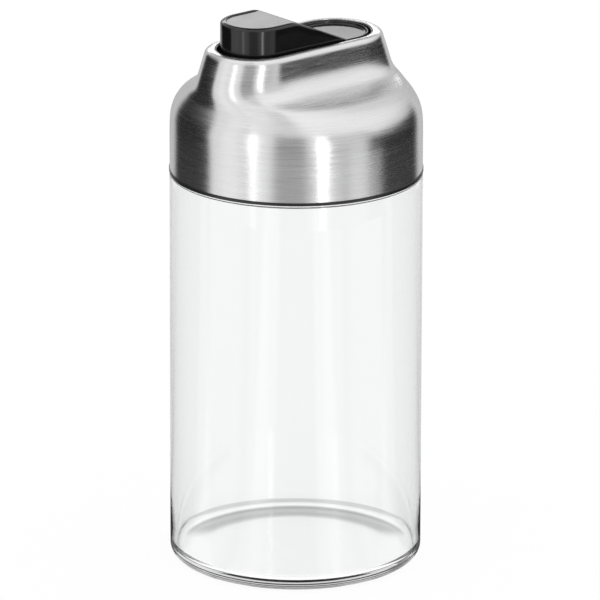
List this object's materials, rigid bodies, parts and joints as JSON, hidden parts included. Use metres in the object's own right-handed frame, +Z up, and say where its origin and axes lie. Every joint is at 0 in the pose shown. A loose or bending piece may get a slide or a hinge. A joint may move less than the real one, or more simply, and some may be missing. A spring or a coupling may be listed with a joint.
{
  "type": "sugar dispenser",
  "caption": "Glass sugar dispenser with a brushed steel lid, a rocking pour flap, a bayonet collar and a lift-off cover.",
  "frame": {"origin": "centre of the jar's flat base, on the surface it stands on", "axes": "+Z up along the jar; X along the long axis of the lid's opening, with the spout and wedge at -X and the thumb dish at +X"},
  "size_m": [0.0754, 0.0754, 0.1683],
  "materials": {
    "glass": "clear, fire-polished",
    "shell_steel": "brushed around the axis",
    "flap_plastic": "polished black ABS",
    "tray_plastic": "satin to gloss black ABS",
    "collar_plastic": "fine satin black PP",
    "silicone": "matte translucent silicone",
    "hardware_steel": "bright stainless"
  },
  "bodies": {
    "jar": {"glass_jar": "glass"},
    "seal": {"jar_gasket": "silicone"},
    "lid": {"lid_collar": "collar_plastic", "tray_gasket": "silicone", "lid_shell": "shell_steel", "spout_tray": "tray_plastic", "lid_screws": "hardware_steel", "hinge_pin": "hardware_steel", "return_spring": "hardware_steel"},
    "flap": {"flap_top": "flap_plastic", "flap_base": "tray_plastic", "flap_seal": "silicone"}
  },
  "joints": [
    {"name": "lid_turn", "type": "hinge", "parent": "jar", "child": "seal", "pos_m": [0, 0, 0.133], "axis": [0, 0, 1], "range_deg": [-45, 0]},
    {"name": "lid_lift", "type": "slide", "parent": "seal", "child": "lid", "axis": [0, 0, 1], "range_m": [0, 0.045]},
    {"name": "flap_tilt", "type": "hinge", "parent": "lid", "child": "flap", "pos_m": [0.001, 0, 0.1565], "axis": [0, 1, 0], "range_deg": [0, 24], "stiffness_Nm_per_rad": 0.02, "springref_deg": -20.05, "deforming": ["return_spring"]}
  ]
}
